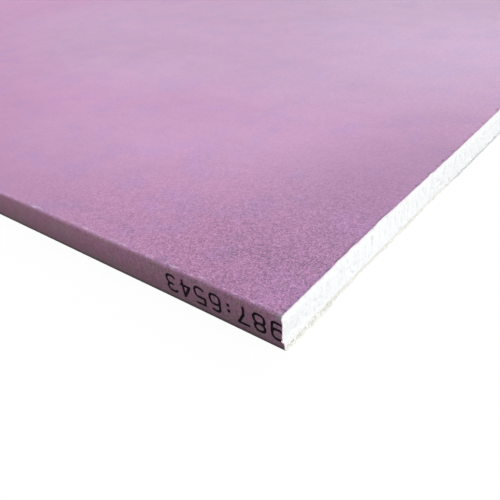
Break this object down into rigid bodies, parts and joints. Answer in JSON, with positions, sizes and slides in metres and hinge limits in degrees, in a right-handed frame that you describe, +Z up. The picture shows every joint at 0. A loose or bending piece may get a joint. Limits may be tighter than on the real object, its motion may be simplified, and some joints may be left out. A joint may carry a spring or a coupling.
{
  "type": "plasterboard sheet",
  "caption": "Flat straight-edged sheet of fire-rated plasterboard: gypsum core in a mauve face liner wrapped round the long edges and a grey-beige back liner, for lining walls and ceilings.",
  "frame": {"origin": "middle of the back face, in the plane that the sheet rests on", "axes": "+X along the length, +Y across the width, +Z up out of the face"},
  "size_m": [2.4, 1.2, 0.0125],
  "materials": {
    "gypsum": "cut set gypsum, chalky matte",
    "mauve_liner": "mauve liner paper, matte with fine fibres",
    "back_liner": "recycled grey-beige liner paper, matte"
  },
  "bodies": {
    "root": {"gypsum_core": "gypsum", "face_paper": "mauve_liner", "back_paper": "back_liner"}
  },
  "joints": []
}
